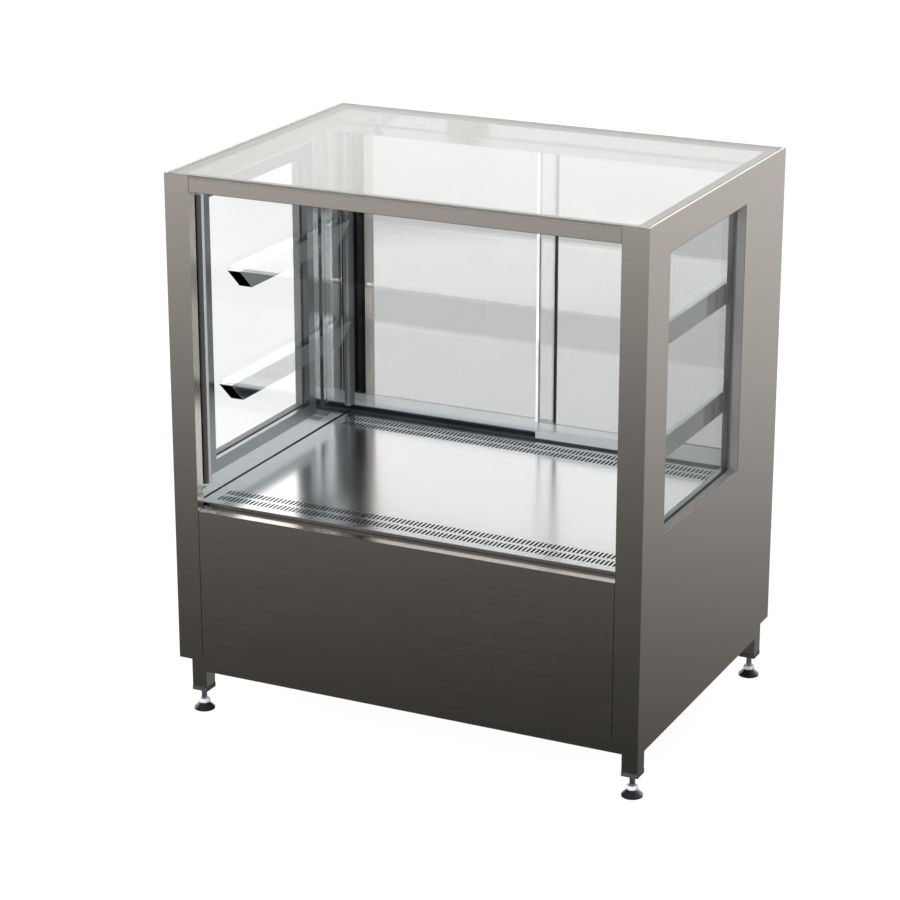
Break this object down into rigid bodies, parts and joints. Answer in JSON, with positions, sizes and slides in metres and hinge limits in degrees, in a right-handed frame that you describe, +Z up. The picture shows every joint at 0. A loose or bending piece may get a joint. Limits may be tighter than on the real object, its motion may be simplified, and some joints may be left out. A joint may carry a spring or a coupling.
{
  "type": "bakery display case",
  "caption": "Free-standing open-front cooled display counter with glass shelves, glass top and sides, sliding rear doors and levelling feet.",
  "frame": {"origin": "centre of the footprint, on the floor", "axes": "+Z up, +Y from the open front to the staff side, +X to the right seen from the front"},
  "size_m": [0.9, 0.648, 1.015],
  "materials": {
    "brushed_skin": "satin, fine horizontal brushing",
    "inner_steel": "bright, nearly mirror",
    "galvanised_steel": "zinc plated",
    "clear_glass": "clear, polished edges",
    "door_glass": "clear, slightly grey",
    "aluminium": "satin anodised",
    "black_plastic": "glossy moulded",
    "black_rubber": "matte",
    "frosted_plastic": "frosted, translucent",
    "foam": "rigid foam",
    "copper": "drawn tube",
    "black_enamel": "gloss enamel",
    "display_black": "dark window"
  },
  "bodies": {
    "case": {"left_outer_skin": "brushed_skin", "right_outer_skin": "brushed_skin", "top_front_rail": "brushed_skin", "top_side_rails": "brushed_skin", "front_panel": "brushed_skin", "rear_panel": "brushed_skin", "base_legs": "brushed_skin", "base_long_rails": "brushed_skin", "base_side_rails": "brushed_skin", "left_inner_skin": "inner_steel", "right_inner_skin": "inner_steel", "window_frames": "inner_steel", "top_rear_rail": "inner_steel", "rear_posts": "inner_steel", "door_top_track": "inner_steel", "door_bottom_track": "inner_steel", "shelf_uprights": "inner_steel", "upper_shelf_arms": "inner_steel", "lower_shelf_arms": "inner_steel", "tank_liner": "inner_steel", "bottom_plate": "galvanised_steel", "screws": "galvanised_steel", "left_window_glass": "clear_glass", "right_window_glass": "clear_glass", "top_glass": "clear_glass", "led_profiles": "aluminium", "condenser_coil": "aluminium", "evaporator_coil": "aluminium", "leg_end_caps": "black_plastic", "condenser_fan_frame": "black_plastic", "evaporator_fan_frame": "black_plastic", "cable_gland": "black_plastic", "door_bumpers": "black_rubber", "top_glass_seal": "black_rubber", "led_lenses": "frosted_plastic", "insulation": "foam", "refrigerant_pipes": "copper", "compressor": "black_enamel", "temperature_display": "display_black"},
    "left_door": {"left_door_glass": "door_glass", "left_door_shoe": "frosted_plastic", "left_door_edge": "aluminium"},
    "right_door": {"right_door_glass": "door_glass", "right_door_shoe": "frosted_plastic", "right_door_edge": "aluminium"},
    "upper_shelf": {"upper_shelf_glass": "clear_glass"},
    "lower_shelf": {"lower_shelf_glass": "clear_glass"},
    "deck": {"deck_pan": "inner_steel"},
    "condenser_fan": {"condenser_fan_rotor": "black_plastic"},
    "evaporator_fan": {"evaporator_fan_rotor": "black_plastic"},
    "thermostat": {"thermostat_knob": "black_plastic"},
    "rocker": {"power_switch": "black_plastic"},
    "foot_front_left": {"foot_pad_front_left": "black_plastic", "foot_stem_front_left": "galvanised_steel"},
    "foot_front_right": {"foot_pad_front_right": "black_plastic", "foot_stem_front_right": "galvanised_steel"},
    "foot_rear_left": {"foot_pad_rear_left": "black_plastic", "foot_stem_rear_left": "galvanised_steel"},
    "foot_rear_right": {"foot_pad_rear_right": "black_plastic", "foot_stem_rear_right": "galvanised_steel"}
  },
  "joints": [
    {"name": "left_door_slide", "type": "slide", "parent": "case", "child": "left_door", "axis": [1, 0, 0], "range_m": [0, 0.355]},
    {"name": "right_door_slide", "type": "slide", "parent": "case", "child": "right_door", "axis": [1, 0, 0], "range_m": [-0.355, 0]},
    {"name": "upper_shelf_lift", "type": "slide", "parent": "case", "child": "upper_shelf", "axis": [0, 0, 1], "range_m": [0, 0.12]},
    {"name": "lower_shelf_lift", "type": "slide", "parent": "case", "child": "lower_shelf", "axis": [0, 0, 1], "range_m": [0, 0.12]},
    {"name": "deck_lift", "type": "slide", "parent": "case", "child": "deck", "axis": [0, 0, 1], "range_m": [0, 0.03]},
    {"name": "condenser_fan_spin", "type": "hinge", "parent": "case", "child": "condenser_fan", "pos_m": [0.13, 0.197, 0.19], "axis": [0, 1, 0], "continuous": true},
    {"name": "evaporator_fan_spin", "type": "hinge", "parent": "case", "child": "evaporator_fan", "pos_m": [0, -0.072, 0.333], "axis": [0, 1, 0], "continuous": true},
    {"name": "thermostat_turn", "type": "hinge", "parent": "case", "child": "thermostat", "pos_m": [0.3, 0.31, 0.345], "axis": [0, -1, 0], "range_deg": [0, 270]},
    {"name": "rocker_tilt", "type": "hinge", "parent": "case", "child": "rocker", "pos_m": [0.24, 0.303, 0.345], "axis": [1, 0, 0], "range_deg": [0, 16]},
    {"name": "foot_front_left_level", "type": "slide", "parent": "case", "child": "foot_front_left", "axis": [0, 0, -1], "range_m": [-0.012, 0.015]},
    {"name": "foot_front_right_level", "type": "slide", "parent": "case", "child": "foot_front_right", "axis": [0, 0, -1], "range_m": [-0.012, 0.015]},
    {"name": "foot_rear_left_level", "type": "slide", "parent": "case", "child": "foot_rear_left", "axis": [0, 0, -1], "range_m": [-0.012, 0.015]},
    {"name": "foot_rear_right_level", "type": "slide", "parent": "case", "child": "foot_rear_right", "axis": [0, 0, -1], "range_m": [-0.012, 0.015]}
  ]
}
